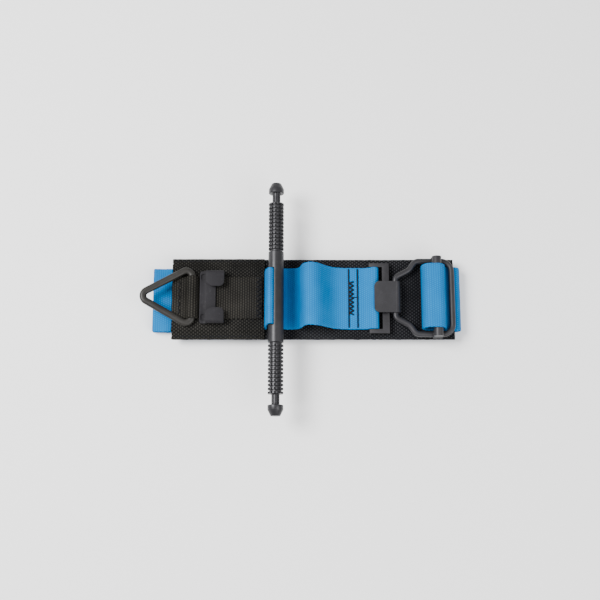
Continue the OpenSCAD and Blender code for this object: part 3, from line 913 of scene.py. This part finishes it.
def softened(name, node, width):
    """A copy of a node, under a name of its own, with its sharp edges rounded over width."""
    piece = bpy.data.objects.new(name, frame["nodes"][node].data.copy())
    bpy.context.collection.objects.link(piece)
    only(piece)
    bpy.ops.object.mode_set(mode="EDIT")
    bpy.ops.mesh.select_all(action="SELECT")
    bpy.ops.mesh.remove_doubles(threshold=1e-6)
    bpy.ops.mesh.select_all(action="SELECT")
    bpy.ops.mesh.dissolve_limited(angle_limit=math.radians(0.5))
    bpy.ops.object.mode_set(mode="OBJECT")
    bevel = piece.modifiers.new("edges", "BEVEL")
    bevel.width = width
    bevel.segments = 3
    bevel.limit_method = "ANGLE"
    bevel.angle_limit = sharp
    bevel.use_clamp_overlap = True
    bpy.ops.object.modifier_apply(modifier="edges")
    bpy.ops.object.shade_smooth_by_angle(angle=sharp)
    return piece


for name, node, width, steel, body in (
    ("rod_clip", "windlass_clip", 0.22 * MM, clip_steel, "pad"),
    ("strap_frame", "slotted_frame", 0.35 * MM, coated_steel, "frame_link"),
    ("buckle_hook", "hook_plate", 0.3 * MM, coated_steel, "bail"),
    ("adjuster_bar", "slide_bar", 0.4 * MM, coated_steel, "adjuster"),
):
    finish_piece(softened(name, node, width), steel, "coated_steel", body, node)

# %% [markdown]
# ## Stitches
# A stitch is a short length of thread that comes up out of the cloth and goes down again. One is swept
# along a low arch, and copied for every stitch, each copy with its own mesh, turned and put in place. A
# row is joined into one piece.

# %% Define and sew the stitches


def one_stitch(name, length, thick):
    """A low arch of thread along X, whose two ends are below the cloth's surface."""
    arch = np.linspace(0, math.pi, 9)
    path = np.stack([-length / 2 * np.cos(arch), np.sin(arch) ** 0.7 * thick * 0.62 - thick * 0.3], 1)
    ahead = directions(path)
    n = len(path)
    points = np.stack([path[:, 0], np.zeros(n), path[:, 1]], 1)
    side, up = np.tile([0.0, 1.0, 0.0], (n, 1)), np.stack([-ahead[:, 1], np.zeros(n), ahead[:, 0]], 1)
    outline = soft_outline(thick / 2, thick / 2, 2, 8)
    return sweep(name, points, side, up, outline, run_lengths(path), np.linspace(0, thick * 3, 9))


def sew(name, body, node, places):
    """places are (x, y, z, turn in degrees, length, thickness)."""
    copies = []
    for x, y, z, turn, length, thick in places:
        stitch = one_stitch(name, length, thick)
        a = math.radians(turn)
        co = np.empty(len(stitch.data.vertices) * 3)
        stitch.data.vertices.foreach_get("co", co)
        co = co.reshape(-1, 3)
        moved = np.stack([
            x + co[:, 0] * math.cos(a) - co[:, 1] * math.sin(a),
            y + co[:, 0] * math.sin(a) + co[:, 1] * math.cos(a), z + co[:, 2],
        ], 1)
        stitch.data.vertices.foreach_set("co", moved.ravel())
        copies.append(stitch)
    deselect()
    for stitch in copies:
        stitch.select_set(True)
    bpy.context.view_layer.objects.active = copies[0]
    bpy.ops.object.join()
    return finish_piece(bpy.context.object, thread, "black_thread", body, node)


tape_top = tape_z + web / 2
end_top = over_z + web / 2
edge_y = pad_w / 2 - 1.6 * MM
edge_z = pad_top + gap + pad_t
sew("edge_stitches", "pad", "sleeve_edge_stitching", [
    (x, side * edge_y, edge_z - 0.05 * MM, 0, 3.0 * MM, 0.6 * MM)
    for side in (-1, 1) for x in np.arange(pad_left + 3 * MM, sleeve_right - 2 * MM, 4.2 * MM)
])
sew("tape_stitches", "pad", "ring_webbing_stitching", [
    (-57.2 * MM, i * 4.1 * MM, tape_top, 84, 2.4 * MM, 1.0 * MM) for i in range(-2, 3)
])
bartack_y = np.linspace(-1, 1, 17) * (size("ring_webbing", Y) / 2 - 1.2 * MM)
sew("tape_bartack", "pad", "ring_webbing_bartack", [
    (-10.4 * MM, y, tape_top, 24 if i % 2 else -24, 3.0 * MM, 0.85 * MM) for i, y in enumerate(bartack_y)
])
seam_rows = [
    (x, i * 3.2 * MM, end_top, 90, 3.1 * MM, 0.85 * MM)
    for x in (42.7 * MM, 47.9 * MM) for i in range(-5, 6)
]
seam_rows += [
    (44.2 * MM, (i - 7.5) * 1.25 * MM, end_top, 24 if i % 2 else -24, 2.6 * MM, 0.95 * MM) for i in range(16)
]
seam_rows += [(46.2 * MM, 0.5 * MM, end_top, 0, 3.0 * MM, 0.5 * MM)]
sew("strap_end_seam", "pad", "tension_strap_stitching", seam_rows)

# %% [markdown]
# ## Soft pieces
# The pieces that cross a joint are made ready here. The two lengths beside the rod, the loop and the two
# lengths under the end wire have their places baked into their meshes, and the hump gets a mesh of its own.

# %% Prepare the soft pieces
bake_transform(rise)
foot[1] + 1 * MM
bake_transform(fall)
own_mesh(slack)
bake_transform(loop)
for piece in under_wire:
    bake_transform(piece)

# %% [markdown]
# ## Floor and light
# The floor is plain and pale. A large soft light hangs above and to the left, a wider and weaker one
# fills from the right and the front, and a bright even surround keeps the shadows faint.

# %% Add the floor and the lights
deselect()
bpy.ops.mesh.primitive_plane_add(size=6, location=(0, 0, -0.0002))
floor = bpy.context.object
floor.name = "floor"
floor_finish = Finish("pale floor", Roughness=0.9)
floor_finish.set("Base Color", (0.9, 0.9, 0.9, 1))
floor.data.materials.append(floor_finish.material)


def soft_light(name, place, power, width):
    """A round area light at a place, in watts, turned towards the camera's aim."""
    lamp = bpy.data.lights.new(name, "AREA")
    lamp.energy = power
    lamp.shape = "DISK"
    lamp.size = width
    holder = bpy.data.objects.new(name, lamp)
    bpy.context.collection.objects.link(holder)
    holder.location = place
    holder.rotation_euler = (aim - Vector(place)).to_track_quat("-Z", "Y").to_euler()


soft_light("key", (-0.58, 0.1, 0.88), 21, 0.5)
soft_light("fill", (0.62, -0.5, 0.8), 10, 0.8)
world = bpy.context.scene.world or bpy.data.worlds.new("surround")
bpy.context.scene.world = world
world.use_nodes = True
world.node_tree.nodes["Background"].inputs["Color"].default_value = (1, 1, 1, 1)
world.node_tree.nodes["Background"].inputs["Strength"].default_value = 0.8
print("lights are up")
